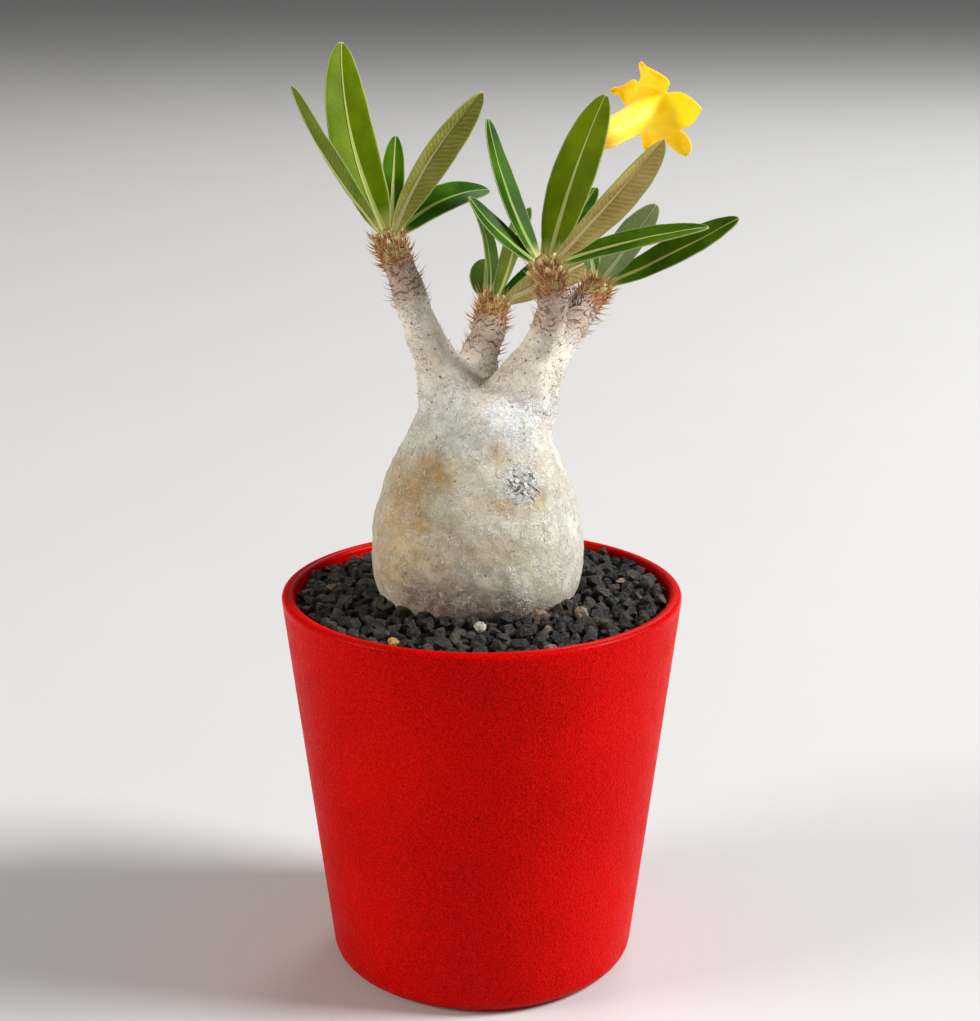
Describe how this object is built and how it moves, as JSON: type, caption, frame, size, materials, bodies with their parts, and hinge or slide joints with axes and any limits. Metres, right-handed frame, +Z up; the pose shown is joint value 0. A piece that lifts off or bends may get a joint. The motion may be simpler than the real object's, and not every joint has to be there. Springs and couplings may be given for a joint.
{
  "type": "potted pachypodium",
  "caption": "Pachypodium with a swollen grey caudex, spiny branches, strap leaves and a yellow flower, top-dressed with dark gravel in a plain red pot.",
  "frame": {"origin": "centre of the pot's flat base, on the surface it stands on", "axes": "+Z up the pot's axis; -Y towards the plant's front, and +X to the right seen from there"},
  "size_m": [0.1234, 0.1096, 0.2542],
  "materials": {
    "red_plastic": "satin",
    "soil": "matte",
    "gravel": "satin",
    "bark": "matte",
    "leaf": "satin",
    "stalk": "satin",
    "sepal": "matte",
    "petal": "satin"
  },
  "bodies": {
    "root": {"pot": "red_plastic", "soil": "soil", "gravel": "gravel", "trunk": "bark", "flower_stalk": "stalk", "calyx": "sepal", "corolla": "petal", "leaf_a_narrow": "leaf", "leaf_a_tall": "leaf", "leaf_a_small": "leaf", "leaf_a_khaki": "leaf", "leaf_a_low": "leaf", "leaf_a_rear": "leaf", "leaf_b_left": "leaf", "leaf_b_broad": "leaf", "leaf_b_olive": "leaf", "leaf_b_rear": "leaf", "leaf_b_teal": "leaf", "leaf_b_long": "leaf", "leaf_c_left": "leaf", "leaf_c_tall": "leaf", "leaf_c_khaki": "leaf", "leaf_c_right": "leaf", "leaf_c_low": "leaf", "leaf_c_rear": "leaf", "leaf_d_khaki": "leaf", "leaf_d_long": "leaf", "leaf_d_young": "leaf"}
  },
  "joints": []
}
